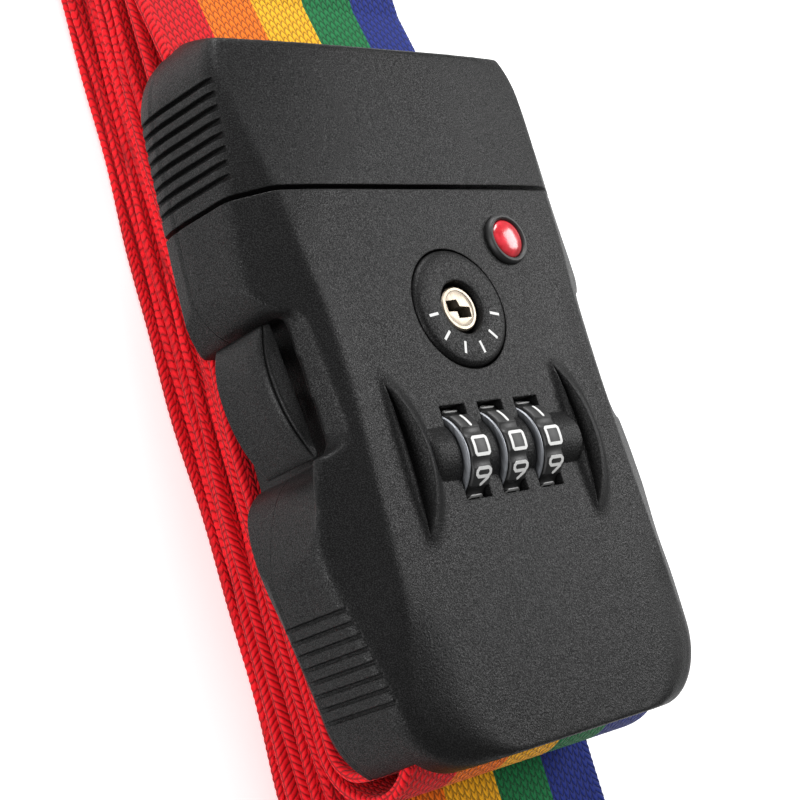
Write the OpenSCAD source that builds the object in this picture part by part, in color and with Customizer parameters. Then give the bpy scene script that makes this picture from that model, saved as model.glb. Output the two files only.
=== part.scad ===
// Combination luggage strap: a two-part buckle lying on its folded webbing.
// Frame: the origin lies on the rest plane under the middle of the buckle.
// X runs across the webbing, Y along it towards the tongue half, Z up out of the dial face.

/* [Buckle] */
// Length of the closed buckle along the webbing
buckle_len = 101.5; // [98:0.5:106]
// Thickness of the buckle from its back to the flat face
buckle_t = 20; // [19.5:0.5:21]
// Greatest half width, at the two hips beside the release buttons
hip_half_w = 32.6; // [32:0.1:33.5]
// Half width at the free end of the lock half
tail_half_w = 29.6; // [29:0.1:30.5]
// Half width at the free end of the tongue half
head_half_w = 30.2; // [29.5:0.1:31]
// Half width of the flat face between its two long chamfers
ridge_half_w = 24.6; // [24:0.1:25.5]
// Depth of the long chamfers below the face
chamfer_drop = 4.7; // [4:0.1:5.5]
// Wall thickness of the moulded covers
wall = 1.8; // [1.6:0.1:2]
// Open line between the two halves
split_gap = 0.7; // [0.6:0.05:0.9]

/* [Grip] */
// Number of grooves in each finger grip
grip_count = 8; // [6:1:8]
// Spacing of the grooves along the buckle
grip_pitch = 1.8; // [1.6:0.05:1.85]
// Width of one groove
groove_w = 0.7; // [0.5:0.05:0.9]
// Depth of one groove
groove_depth = 0.8; // [0.5:0.05:1]

/* [Dials] */
// Outer radius of a dial
dial_r = 6.5; // [6.4:0.05:6.6]
// Spacing of the dials along their axle
dial_pitch = 7.1; // [7:0.05:7.3]
// Width of one dial window
window_w = 4.75; // [4.7:0.05:4.85]
// Length of one dial window
window_len = 12.55; // [12.4:0.05:13]
// Radius of the raised barrel between the windows
barrel_r = 5.5; // [5.2:0.05:5.7]
// Radius of the dial axle
axle_r = 1.5; // [1.4:0.05:1.6]

/* [Key lock] */
// Radius of the round plate set into the face
disc_r = 8.2; // [8:0.05:8.4]
// Height of the round plate over the face
disc_rise = 0.5; // [0.4:0.05:0.55]
// Radius of the turning plug
plug_r = 3.1; // [3:0.05:3.2]
// Radius at which the cam pin turns
cam_throw = 2; // [1.9:0.05:2.1]

/* [Latch] */
// How far a release button can be pressed
press_travel = 2.4; // [2:0.1:2.4]
// Clear space between each latch hook and the prong beside it
hook_gap = 0.35; // [0.3:0.05:0.5]

/* [Webbing] */
// Width of the webbing
web_w = 50; // [49:0.5:50]
// Thickness of the webbing
web_t = 1.5; // [1.4:0.05:1.55]
// Height from one folded layer to the next
web_pitch = 1.7; // [1.65:0.05:1.75]
// Half length of the folded webbing
hank_half_len = 133; // [125:1:145]

/* [Hidden] */
$fn = 72;
run_count = 7;
top_run_z = web_t / 2 + (run_count - 1) * web_pitch;
tail_run_z = top_run_z + web_pitch + 0.1;
base_z = tail_run_z + web_t / 2 + 0.5;
face_z = base_z + buckle_t;
parting_z = base_z + 6.4;
end_y = buckle_len / 2;
split_y = 23.65;
low_hip_y = -18.65;
high_hip_y = 14.25;
split_half_w = 31.6;
tail_corner_r = 10;
head_corner_r = 12;
shoulder_half_w = 30.7;
seam = 0.15;
far = 60;

dial_y = -12.9;
dial_z = face_z - 4.2;
window_x = [-dial_pitch, 0, dial_pitch];
axle_half_len = 13.9;
boss_len = 1.8;
bore_play = 0.05;

key_y = 6.25;
housing_r = 5.5;
plate_z = base_z + 4.6;
plate_t = 1.2;
cam_pin_r = 0.7;
cam_slack = 0.75;

badge_x = 13.2;
badge_y = 15.75;
badge_r = 3.7;

pocket_in_x = 24.6;
pocket_floor_z = base_z + 4.8;
pocket_top_y = 7.95;
pocket_low_y = -10.6;
button_in_x = pocket_in_x + press_travel + 0.3;
button_z = pocket_floor_z + 0.4;
button_top_z = face_z - 5.1;
arm_z = base_z + 7;
arm_t = 1.5;
arm_y = 3.6;
arm_w = 3;
prong_in_x = 10;
prong_out_x = 14.5;
prong_tip_y = 2.5;
prong_z = base_z + 9.2;
prong_t = 3.2;
hook_t = 1.1;
spring_y = -2;
spring_z = base_z + 10;
spring_r = 1.7;

bar_r = 1.6;
bar_half_len = 28;
loop_r = bar_r + 0.1 + web_t / 2;
notch_half_w = web_w / 2 + 0.5;
lock_bar_y = -40.5;
lock_bar_z = face_z - 9.3;
loop_turn_y = -43.4;
male_bar_y = 43;
male_bar_z = base_z + 4.1;
male_run_z = male_bar_z - loop_r;

screw_shaft_r = 0.95;
screw_head_r = 1.9;
post_r = 3;
lock_screws = [[20.5, 17], [-20.5, 17], [20.5, -30], [-20.5, -30]];
male_screws_at = [[21.5, 33], [-21.5, 33]];

// ---------- helpers ----------

module block(x, y, z) {
    // A box between the two values given on each axis.
    translate([x[0], y[0], z[0]])
        cube([x[1] - x[0], y[1] - y[0], z[1] - z[0]]);
}

module rod_x(r, x, y, z) {
    // A cylinder lying along X between the two values in x.
    translate([x[0], y, z])
        rotate([0, 90, 0])
            cylinder(r = r, h = x[1] - x[0]);
}

module rod_z(r, x, y, z) {
    // An upright cylinder between the two values in z.
    translate([x, y, z[0]])
        cylinder(r = r, h = z[1] - z[0]);
}

module both_sides() {
    children();
    mirror([1, 0, 0])
        children();
}

function flipped(points) = [for (i = [len(points) - 1 : -1 : 0]) [-points[i][0], points[i][1]]];

module symmetric_polygon(points) {
    polygon(concat(points, flipped(points)));
}

// ---------- outer form of the buckle ----------

module plan_sides(inset) {
    symmetric_polygon([
        [tail_half_w - inset, -end_y],
        [hip_half_w - inset, low_hip_y],
        [hip_half_w - 0.3 - inset, high_hip_y],
        [split_half_w - inset, split_y],
        [head_half_w - inset, end_y]
    ]);
}

module plan_ends(inset) {
    low_r = tail_corner_r - inset;
    high_r = head_corner_r - inset;
    low_x = tail_half_w - tail_corner_r;
    high_x = head_half_w - head_corner_r;
    low_y = -end_y + tail_corner_r;
    high_y = end_y - head_corner_r;
    translate([-far, low_y])
        square([2 * far, high_y - low_y]);
    translate([-low_x, -end_y + inset])
        square([2 * low_x, far]);
    translate([-high_x, 0])
        square([2 * high_x, end_y - inset]);
    for (s = [-1, 1]) {
        translate([s * low_x, low_y])
            circle(low_r);
        translate([s * high_x, high_y])
            circle(high_r);
    }
}

module plan_form(inset) {
    translate([0, 0, base_z - 1])
        linear_extrude(buckle_t + 2)
            intersection() {
                plan_sides(inset);
                plan_ends(inset);
            }
}

module cross_form(inset) {
    // Section across the webbing: chamfered face, drafted walls, rounded back.
    rotate([90, 0, 0])
        linear_extrude(2 * far, center = true)
            symmetric_polygon([
                [hip_half_w - 5.5 - inset, base_z + inset],
                [hip_half_w - 2 - inset, base_z + 1.3 + inset],
                [hip_half_w - 0.4 - inset, base_z + 4],
                [hip_half_w + 0.2 - inset, base_z + 6],
                [shoulder_half_w + 0.8 - inset, face_z - chamfer_drop - 1.4],
                [shoulder_half_w - inset, face_z - chamfer_drop],
                [ridge_half_w + 0.5 - inset, face_z - 0.3 - inset],
                [ridge_half_w - 0.4 - inset, face_z - inset]
            ]);
}

module side_form(inset) {
    // Section along the webbing: upright end on the lock half, sloping end on the tongue half.
    rotate([90, 0, 90])
        linear_extrude(2 * far, center = true)
            polygon([
                [-end_y + 0.9 + inset, base_z + inset],
                [-end_y + inset, base_z + 1.5 + inset],
                [-end_y + inset, face_z - 0.9 - inset],
                [-end_y + 0.9 + inset, face_z - inset],
                [end_y - 7.4 - inset, face_z - inset],
                [end_y - 6 - inset, face_z - 0.8 - inset],
                [end_y - inset, parting_z],
                [end_y - inset, base_z + 2.5 + inset],
                [end_y - 2.2 - inset, base_z + inset]
            ]);
}

module body_form(inset) {
    intersection() {
        plan_form(inset);
        cross_form(inset);
        side_form(inset);
    }
}

module grip_cuts(first_y) {
    // Grooves that follow the side walls, counted from first_y along +Y.
    difference() {
        for (i = [0 : grip_count - 1])
            block([-far, far], [first_y + i * grip_pitch, first_y + i * grip_pitch + groove_w],
                  [base_z + 3, face_z - 2.4]);
        plan_form(groove_depth);
        block([-ridge_half_w - 3, ridge_half_w + 3], [-far, far], [base_z, face_z]);
    }
}

// ---------- shared features of the covers ----------

module button_pocket(grow) {
    // Space round one release button, right-hand side.
    translate([0, 0, pocket_floor_z - grow])
        linear_extrude(buckle_t)
            polygon([
                [pocket_in_x - grow, pocket_top_y + grow],
                [far, pocket_top_y + grow],
                [far, -17.5 - grow],
                [hip_half_w + 0.6, -17.5 - grow],
                [31.7, -15.5 - grow],
                [30, -13.5 - grow],
                [27.6, -12 - grow],
                [pocket_in_x - grow, pocket_low_y - grow]
            ]);
}

module strap_notch(y, z) {
    block([-notch_half_w, notch_half_w], y, z);
}

module lock_half_space(inset) {
    block([-far, far], [-far, split_y - split_gap / 2 - inset], [base_z - 2, face_z + 2]);
}

module male_half_space(inset) {
    block([-far, far], [split_y + split_gap / 2 + inset, far], [base_z - 2, face_z + 2]);
}

module lock_cavity() {
    difference() {
        intersection() {
            body_form(wall);
            lock_half_space(wall);
        }
        both_sides()
            button_pocket(1.6);
        cheek_blocks(-far, lock_bar_y + 4.4);
    }
}

module cheek_blocks(y0, y1) {
    // Solid cheeks outside the webbing that carry the ends of a strap bar.
    both_sides()
        block([notch_half_w, far], [y0, y1], [base_z - 1, face_z]);
}

module male_cavity() {
    difference() {
        intersection() {
            body_form(wall);
            male_half_space(wall);
        }
        cheek_blocks(male_bar_y - 4.4, far);
    }
}

module bar_hole(y, z) {
    rod_x(bar_r + 0.03, [-bar_half_len - 0.1, bar_half_len + 0.1], y, z);
}

module front_posts(spots) {
    for (p = spots)
        difference() {
            rod_z(post_r, p[0], p[1], [parting_z + 0.3, face_z - wall + 0.2]);
            rod_z(screw_shaft_r + 0.05, p[0], p[1], [base_z, face_z - 4]);
        }
}

module back_posts(spots) {
    for (p = spots)
        rod_z(post_r, p[0], p[1], [base_z + wall - 0.2, parting_z - seam]);
}

module screw_holes(spots) {
    for (p = spots) {
        rod_z(screw_shaft_r + 0.1, p[0], p[1], [base_z - 1, parting_z]);
        rod_z(screw_head_r + 0.2, p[0], p[1], [base_z - 1, base_z + 1.5]);
    }
}

module screw_set(spots) {
    // Cross-headed screws driven from the back.
    for (p = spots)
        difference() {
            union() {
                rod_z(screw_shaft_r, p[0], p[1], [base_z + 1, face_z - 6]);
                rod_z(screw_head_r, p[0], p[1], [base_z + 0.3, base_z + 1.5]);
            }
            for (a = [0, 90])
                translate([p[0], p[1], base_z + 0.3])
                    rotate([0, 0, a])
                        cube([2.4, 0.5, 1], center = true);
        }
}

module above_parting() {
    block([-far, far], [-far, far], [parting_z, face_z + 5]);
}

module below_parting() {
    block([-far, far], [-far, far], [base_z - 1, parting_z - seam]);
}

module prong_slots(play) {
    // Two slots through the lock half's end wall for the prongs.
    both_sides()
        block([prong_in_x - play, prong_out_x + play], [split_y - 6, split_y + 1],
              [prong_z - play, prong_z + prong_t + play]);
}

// ---------- lock half covers ----------

module dial_windows() {
    for (x = window_x)
        block([x - window_w / 2, x + window_w / 2], [dial_y - window_len / 2, dial_y + window_len / 2],
              [face_z - 3.5, face_z + 4]);
}

module dial_barrel() {
    intersection() {
        rod_x(barrel_r, [-12, 15], dial_y, dial_z);
        block([-far, far], [-far, far], [face_z - wall + 0.1, face_z + 4]);
    }
}

module axle_bosses() {
    both_sides()
        block([axle_half_len - boss_len, axle_half_len], [dial_y - 3.2, dial_y + 3.2],
              [dial_z - 3, face_z - wall + 0.2]);
}

module lens_plan(edge_x, sagitta, inset) {
    // Region between a straight edge and an arc that bulges to +X.
    half_chord = 9.9;
    r = (half_chord * half_chord + sagitta * sagitta) / (2 * sagitta);
    intersection() {
        translate([edge_x + sagitta - r, dial_y])
            circle(r - inset);
        translate([edge_x + inset, dial_y - half_chord])
            square([sagitta, 2 * half_chord]);
    }
}

module lens_recess(edge_x, sagitta) {
    translate([0, 0, face_z - 1])
        linear_extrude(3)
            lens_plan(edge_x, sagitta, 0);
    translate([0, 0, face_z - 2])
        linear_extrude(3)
            lens_plan(edge_x, sagitta, 1.1);
}

module lens_backing(edge_x) {
    block([edge_x - 1, edge_x + 6], [dial_y - 11, dial_y + 11], [face_z - 3.6, face_z - wall + 0.1]);
}

module key_seat() {
    difference() {
        rod_z(disc_r + 1.8, 0, key_y, [face_z - 4.3, face_z - wall + 0.1]);
        rod_z(housing_r + 0.05, 0, key_y, [face_z - 6, face_z]);
    }
}

module arm_windows() {
    // Slots in the pocket walls that the latch arms slide through.
    both_sides()
        block([pocket_in_x - 3, pocket_in_x + 1], [arm_y - 0.4, arm_y + arm_w + 0.4],
              [arm_z - 0.4, arm_z + arm_t + 0.4]);
}

module lock_front_cover() {
    color("#3c3c3e")
        difference() {
            union() {
                difference() {
                    intersection() {
                        body_form(0);
                        lock_half_space(0);
                        above_parting();
                    }
                    lock_cavity();
                    both_sides()
                        button_pocket(0);
                    grip_cuts(-42.2);
                }
                dial_barrel();
                axle_bosses();
                lens_backing(-18);
                lens_backing(14.5);
                key_seat();
                front_posts(lock_screws);
            }
            rod_x(barrel_r - 1.3, [boss_len - axle_half_len, axle_half_len - boss_len], dial_y, dial_z);
            dial_windows();
            rod_x(axle_r + 0.03, [-axle_half_len - 1, axle_half_len + 1], dial_y, dial_z);
            lens_recess(-18, 4.4);
            lens_recess(14.5, 5);
            rod_z(disc_r + 0.25, 0, key_y, [face_z - 2.1, face_z + 1]);
            prong_slots(0.5);
            arm_windows();
            strap_notch([-far, lock_bar_y + 4], [base_z - 2, face_z - 5.8]);
            bar_hole(lock_bar_y, lock_bar_z);
        }
}

module lock_back_cover() {
    color("#333335")
        difference() {
            union() {
                difference() {
                    intersection() {
                        body_form(0);
                        lock_half_space(0);
                        below_parting();
                    }
                    lock_cavity();
                    both_sides()
                        button_pocket(0);
                    grip_cuts(-42.2);
                }
                back_posts(lock_screws);
                leaf_posts();
            }
            screw_holes(lock_screws);
            strap_notch([-far, lock_bar_y + 4], [base_z - 2, face_z]);
        }
}

module leaf_posts() {
    // Posts that carry the detent leaf under the dials.
    both_sides()
        rod_z(1.6, 12.4, dial_y, [base_z + wall - 0.2, base_z + 6.1]);
}

module lock_strap_bar() {
    color("#b9babd")
        rod_x(bar_r, [-bar_half_len, bar_half_len], lock_bar_y, lock_bar_z);
}

// ---------- dials ----------

module dial_axle() {
    color("#b9babd")
        rod_x(axle_r, [-axle_half_len, axle_half_len], dial_y, dial_z);
}

module dial(i) {
    // Digit ring with ten finger scallops between the digit places.
    x = window_x[i];
    color("#1d1d1f")
        difference() {
            rod_x(dial_r, [x - 1.4, x + 2.1], dial_y, dial_z);
            rod_x(axle_r + bore_play, [x - 3, x + 3], dial_y, dial_z);
            for (k = [0 : 9])
                translate([x, dial_y, dial_z])
                    rotate([18 + 36 * k, 0, 0])
                        rod_x(1, [-1.5, 2.2], 0, dial_r + 0.62);
        }
}

module dial_disc(i) {
    // Bright side plate turning with its dial.
    x = window_x[i];
    color("#c9cacc")
        difference() {
            rod_x(dial_r - 0.3, [x - 2.1, x - 1.5], dial_y, dial_z);
            rod_x(axle_r + bore_play, [x - 3, x + 3], dial_y, dial_z);
        }
}

module clutch_sleeve(i) {
    // Notched hub between one dial and the next.
    x = window_x[i];
    color("#a08a55")
        difference() {
            rod_x(3, [x + 2.2, x + 4.7], dial_y, dial_z);
            rod_x(axle_r + bore_play, [x, x + 6], dial_y, dial_z);
            block([x + 2, x + 5], [dial_y - 0.6, dial_y + 0.6], [dial_z - 4, dial_z - 2.2]);
        }
}

module detent_spring() {
    // One leaf with a bump under each dial.
    leaf_z = base_z + 6.2;
    color("#c9cacc")
        union() {
            block([-14, 14], [dial_y - 2, dial_y + 2], [leaf_z, leaf_z + 0.4]);
            for (x = window_x) {
                block([x - 1.3, x + 1.9], [dial_y - 6, dial_y + 6], [leaf_z, leaf_z + 0.4]);
                intersection() {
                    rod_x(dial_z - dial_r - leaf_z - 0.3, [x - 1.2, x + 1.8], dial_y, leaf_z);
                    block([-far, far], [-far, far], [leaf_z, face_z]);
                }
            }
        }
}

// ---------- key lock ----------

module key_disc() {
    color("#2c2c2e")
        difference() {
            rod_z(disc_r, 0, key_y, [face_z - 2, face_z + disc_rise]);
            rod_z(plug_r + 0.6, 0, key_y, [face_z - 3, face_z + 1]);
        }
}

module key_housing() {
    color("#8f8f92")
        difference() {
            rod_z(housing_r, 0, key_y, [base_z + 8, face_z - 2.1]);
            rod_z(plug_r + bore_play, 0, key_y, [base_z, face_z]);
        }
}

module key_plug() {
    // Turning plug with a stepped keyway.
    color("#cfc6b2")
        difference() {
            rod_z(plug_r, 0, key_y, [base_z + 7.8, face_z]);
            block([-2.2, 0.3], [key_y - 0.4, key_y + 1.2], [face_z - 8, face_z + 1]);
            block([-0.5, 2], [key_y - 1.3, key_y + 0.2], [face_z - 8, face_z + 1]);
        }
}

module key_cam() {
    // Cam under the plug whose pin drives the blocking plate.
    color("#a08a55")
        union() {
            rod_z(plug_r + 0.4, 0, key_y, [plate_z + plate_t + 0.4, base_z + 7.7]);
            rod_z(cam_pin_r, cam_throw, key_y, [plate_z - 0.2, plate_z + plate_t + 0.5]);
        }
}

module lock_plate() {
    // Sliding plate with a cross slot for the cam pin and two blocking lugs.
    lug_y = arm_y - 3.4;
    color("#c9cacc")
        difference() {
            union() {
                block([-8, 8], [key_y - 4.5, key_y + 4.5], [plate_z, plate_z + plate_t]);
                both_sides()
                    block([6, 17], [lug_y - 1.2, lug_y + 0.8], [plate_z, plate_z + plate_t]);
                both_sides()
                    block([6, 8], [lug_y - 1.2, key_y], [plate_z, plate_z + plate_t]);
            }
            block([-2.2, cam_throw + 1.4],
                  [key_y - cam_pin_r - cam_slack, key_y + cam_pin_r + cam_slack],
                  [plate_z - 1, plate_z + plate_t + 1]);
        }
}

// ---------- badge ----------

module badge_bezel() {
    color("#161617")
        difference() {
            rod_z(badge_r, badge_x, badge_y, [face_z, face_z + 0.9]);
            rod_z(badge_r - 0.8, badge_x, badge_y, [face_z + 0.2, face_z + 2]);
        }
}

module badge_gem() {
    // Plain red dome set in the bezel.
    gem_r = badge_r - 0.85;
    dome_r = 6;
    color("#c01722")
        intersection() {
            rod_z(gem_r, badge_x, badge_y, [face_z + 0.2, face_z + 3]);
            translate([badge_x, badge_y, face_z + 1.3 - dome_r])
                sphere(dome_r);
        }
}

// ---------- release buttons ----------

module release_button() {
    // Side button with its latch arm and hook, right-hand side.
    hook_x = prong_in_x - hook_gap;
    difference() {
        translate([0, 0, button_z])
            linear_extrude(button_top_z - button_z)
                polygon([
                    [button_in_x, 7.55],
                    [30, 7.55],
                    [31.2, 5],
                    [31.5, 2],
                    [31.2, -2],
                    [30, -6.5],
                    [28.2, -9.4],
                    [button_in_x, -9.9]
                ]);
        rod_x(spring_r + 0.3, [button_in_x - 1, button_in_x + 2.4], spring_y, spring_z);
    }
    block([hook_x - hook_t, button_in_x + 0.5], [arm_y, arm_y + arm_w], [arm_z, arm_z + arm_t]);
    block([hook_x - hook_t, hook_x], [arm_y, arm_y + arm_w], [arm_z, prong_z + prong_t]);
}

module release_button_right() {
    color("#343436")
        release_button();
}

module release_button_left() {
    color("#343436")
        mirror([1, 0, 0])
            release_button();
}

module button_spring() {
    // Return spring drawn as a bellows of the coil's size, right-hand side.
    coils = 5;
    start_x = pocket_in_x + 0.1;
    length = button_in_x + 2.2 - start_x;
    step = length / coils;
    outer = [for (i = [0 : 2 * coils]) [spring_r - (i % 2 == 0 ? 0 : 0.5), i * step / 2]];
    inner = [for (i = [2 * coils : -1 : 0]) [spring_r - 0.5 - (i % 2 == 0 ? 0 : 0.5), i * step / 2]];
    translate([start_x, spring_y, spring_z])
        rotate([0, 90, 0])
            rotate_extrude()
                polygon(concat(outer, inner));
}

module button_spring_right() {
    color("#c9cacc")
        button_spring();
}

module button_spring_left() {
    color("#c9cacc")
        mirror([1, 0, 0])
            button_spring();
}

// ---------- tongue half ----------

module male_front_cover() {
    color("#3c3c3e")
        difference() {
            union() {
                difference() {
                    intersection() {
                        body_form(0);
                        male_half_space(0);
                        above_parting();
                    }
                    male_cavity();
                    grip_cuts(26.1);
                }
                front_posts(male_screws_at);
            }
            tongue_space();
            strap_notch([male_bar_y - 4, far], [base_z - 2, male_bar_z + loop_r + 1.2]);
        }
}

module male_back_cover() {
    color("#333335")
        difference() {
            union() {
                difference() {
                    intersection() {
                        body_form(0);
                        male_half_space(0);
                        below_parting();
                    }
                    male_cavity();
                    grip_cuts(26.1);
                }
                back_posts(male_screws_at);
            }
            screw_holes(male_screws_at);
            strap_notch([male_bar_y - 4, far], [base_z - 2, face_z]);
            bar_hole(male_bar_y, male_bar_z);
        }
}

module tongue_space() {
    block([-17.2, 17.2], [split_y, split_y + 3], [prong_z - 0.2, prong_z + prong_t + 0.2]);
}

module male_tongue() {
    // Fork of two prongs, each with a catch notch on its inner edge.
    color("#2a2a2c")
        difference() {
            union() {
                block([-17, 17], [split_y + 0.4, split_y + 12], [prong_z, prong_z + prong_t]);
                both_sides()
                    block([prong_in_x, prong_out_x], [prong_tip_y, split_y + 1],
                          [prong_z, prong_z + prong_t]);
            }
            both_sides()
                block([prong_in_x - 1, prong_in_x + 1.2], [arm_y - 0.4, arm_y + arm_w + 0.4],
                      [prong_z - 1, prong_z + prong_t + 1]);
        }
}

module male_strap_bar() {
    color("#b9babd")
        rod_x(bar_r, [-bar_half_len, bar_half_len], male_bar_y, male_bar_z);
}

// ---------- webbing ----------

module web_run(y, z) {
    // One flat run of webbing at height z.
    block([-web_w / 2, web_w / 2], y, [z - web_t / 2, z + web_t / 2]);
}

module web_turn(y, z, r, side) {
    // A half-round fold of middle radius r that bulges towards +Y (side 1) or -Y (side -1).
    intersection() {
        difference() {
            rod_x(r + web_t / 2, [-web_w / 2, web_w / 2], y, z);
            rod_x(r - web_t / 2, [-web_w / 2 - 1, web_w / 2 + 1], y, z);
        }
        block([-far, far], side > 0 ? [y, y + far] : [y - far, y], [z - far, z + far]);
    }
}

function run_z(i) = web_t / 2 + i * web_pitch;

outer_turn_r = (male_run_z - run_z(0)) / 2;
fold_y = hank_half_len - web_pitch / 2 - web_t / 2;
outer_fold_y = hank_half_len - outer_turn_r - web_t / 2;
inner_fold_y = outer_fold_y - 2;

module webbing_hank() {
    // Seven runs folded to and fro, with the lower part of the last wide turn.
    color("#c4141a")
        union() {
            web_run([loop_turn_y, inner_fold_y], run_z(6));
            for (i = [1 : 5])
                web_run([-fold_y, inner_fold_y], run_z(i));
            web_run([-fold_y, outer_fold_y], run_z(0));
            for (i = [5, 3, 1]) {
                web_turn(inner_fold_y, run_z(i) + web_pitch / 2, web_pitch / 2, 1);
                web_turn(-fold_y, run_z(i) - web_pitch / 2, web_pitch / 2, -1);
            }
            intersection() {
                web_turn(outer_fold_y, run_z(0) + outer_turn_r, outer_turn_r, 1);
                block([-far, far], [0, 2 * hank_half_len], [0, run_z(0) + outer_turn_r - 0.2]);
            }
        }
}

module webbing_lock_loop() {
    // Loop round the lock half's bar, its outer layer feeding the top run, its tail folded back.
    outer_z = lock_bar_z + loop_r;
    outer_r = (outer_z - top_run_z) / 2;
    inner_top_z = lock_bar_z - loop_r;
    inner_r = (inner_top_z - tail_run_z) / 2;
    color("#c4141a")
        union() {
            web_turn(lock_bar_y, lock_bar_z, loop_r, 1);
            web_run([loop_turn_y, lock_bar_y], outer_z);
            web_turn(loop_turn_y, top_run_z + outer_r, outer_r, -1);
            web_run([loop_turn_y, lock_bar_y], inner_top_z);
            web_turn(loop_turn_y, tail_run_z + inner_r, inner_r, -1);
            web_run([loop_turn_y, loop_turn_y + 26], tail_run_z);
        }
}

module webbing_male_run() {
    // Loop round the tongue half's bar, the run above the hank and the upper part of the wide turn.
    tail_drop = 2 * loop_r - web_pitch;
    tail_reach = 16;
    tail_z = male_run_z + web_pitch;
    color("#c4141a")
        union() {
            web_turn(male_bar_y, male_bar_z, loop_r, -1);
            web_run([male_bar_y, outer_fold_y], male_run_z);
            translate([-web_w / 2, male_bar_y, male_bar_z + loop_r])
                rotate([-atan2(tail_drop, tail_reach), 0, 0])
                    translate([0, 0, -web_t / 2])
                        cube([web_w, sqrt(tail_drop * tail_drop + tail_reach * tail_reach), web_t]);
            web_run([male_bar_y + tail_reach - 0.4, male_bar_y + tail_reach + 16], tail_z);
            intersection() {
                web_turn(outer_fold_y, run_z(0) + outer_turn_r, outer_turn_r, 1);
                block([-far, far], [0, 2 * hank_half_len],
                      [run_z(0) + outer_turn_r + 0.2, face_z]);
            }
        }
}

// ---------- nodes ----------

lock_front_cover();
lock_back_cover();
lock_strap_bar();
color("#b9babd") screw_set(lock_screws);
dial_axle();
dial(0);  // dial_1
dial(1);  // dial_2
dial(2);  // dial_3
dial_disc(0);  // dial_disc_1
dial_disc(1);  // dial_disc_2
dial_disc(2);  // dial_disc_3
clutch_sleeve(0);  // clutch_sleeve_1
clutch_sleeve(1);  // clutch_sleeve_2
clutch_sleeve(2);  // clutch_sleeve_3
detent_spring();
key_disc();
key_housing();
key_plug();
key_cam();
lock_plate();
badge_bezel();
badge_gem();
release_button_left();
release_button_right();
button_spring_left();
button_spring_right();
male_front_cover();
male_back_cover();
male_tongue();
male_strap_bar();
color("#b9babd") screw_set(male_screws_at);  // male_screws
webbing_hank();
webbing_lock_loop();
webbing_male_run();
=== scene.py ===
"""Looks of the combination luggage strap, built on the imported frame. Lengths are in millimetres until MM."""

import math

import bmesh
import bpy
import numpy as np
from mathutils import Matrix, Vector


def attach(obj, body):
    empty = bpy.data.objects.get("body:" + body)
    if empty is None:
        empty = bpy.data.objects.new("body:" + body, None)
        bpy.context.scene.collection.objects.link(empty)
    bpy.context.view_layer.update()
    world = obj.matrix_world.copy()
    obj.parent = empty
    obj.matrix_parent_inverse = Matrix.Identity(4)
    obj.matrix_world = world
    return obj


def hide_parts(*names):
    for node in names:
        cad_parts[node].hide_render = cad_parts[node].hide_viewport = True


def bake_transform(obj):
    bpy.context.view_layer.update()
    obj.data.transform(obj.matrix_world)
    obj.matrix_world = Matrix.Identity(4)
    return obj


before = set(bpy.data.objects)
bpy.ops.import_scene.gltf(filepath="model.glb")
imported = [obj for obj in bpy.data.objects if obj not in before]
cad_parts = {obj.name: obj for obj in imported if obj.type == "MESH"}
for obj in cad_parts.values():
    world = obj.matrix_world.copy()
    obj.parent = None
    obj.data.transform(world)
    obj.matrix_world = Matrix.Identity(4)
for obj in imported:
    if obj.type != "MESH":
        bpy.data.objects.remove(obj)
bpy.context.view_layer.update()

MM = 0.001

# Frame values shared with the CAD model
FACE_Z = 34.0
BASE_Z = 14.0
PARTING_Z = 20.4
END_Y = 50.75
SPLIT_Y = 23.65
SPLIT_GAP = 0.7
WALL = 1.8
DIAL_Y = -12.9
DIAL_Z = 29.8
DIAL_R = 6.5
DIAL_PITCH = 7.1
WINDOW_W = 4.75
WINDOW_LEN = 12.55
BARREL_R = 5.5
BARREL_X = (-13.9, 15.6)
KEY_Y = 6.25
DISC_R = 8.2
PLUG_R = 3.1
BADGE_X = 13.2
BADGE_Y = 15.75
BADGE_R = 3.7
WEB_W = 50.0
WEB_T = 1.5
WEB_PITCH = 1.7


# ---------------- camera

def make_camera():
    """Camera at the photograph's angle, from the upper left of the dial face."""
    data = bpy.data.cameras.new("camera")
    data.sensor_width = 36
    data.lens = 81.95
    data.clip_start = 0.01
    data.clip_end = 20
    camera = bpy.data.objects.new("camera", data)
    bpy.context.scene.collection.objects.link(camera)
    right = Vector((0.7039, -0.2864, 0.6501)).normalized()
    back = Vector((-0.7060, -0.1810, 0.6847)).normalized()
    up = back.cross(right).normalized()
    right = up.cross(back)
    turn = Matrix((right, up, back)).transposed().to_4x4()
    camera.matrix_world = Matrix.Translation(Vector((-175.9, -46.3, 189.2)) * MM) @ turn
    bpy.context.scene.camera = camera


# ---------------- mesh helpers

def add_mesh(name, points, faces, smooth_angle=35):
    """A new object from points in millimetres, smooth except across sharp edges."""
    mesh = bpy.data.meshes.new(name)
    mesh.from_pydata([tuple(p) for p in np.asarray(points, float) * MM], [], faces)
    mesh.validate()
    obj = bpy.data.objects.new(name, mesh)
    bpy.context.scene.collection.objects.link(obj)
    fix_normals(obj)
    shade(obj, smooth_angle)
    return obj


def fix_normals(obj):
    """Turn every face outwards."""
    work = bmesh.new()
    work.from_mesh(obj.data)
    bmesh.ops.recalc_face_normals(work, faces=work.faces)
    work.to_mesh(obj.data)
    work.free()


def shade(obj, angle=35):
    """Smooth shading that stops at edges sharper than angle."""
    obj.data.polygons.foreach_set("use_smooth", [True] * len(obj.data.polygons))
    obj.data.set_sharp_from_angle(angle=math.radians(angle))


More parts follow.
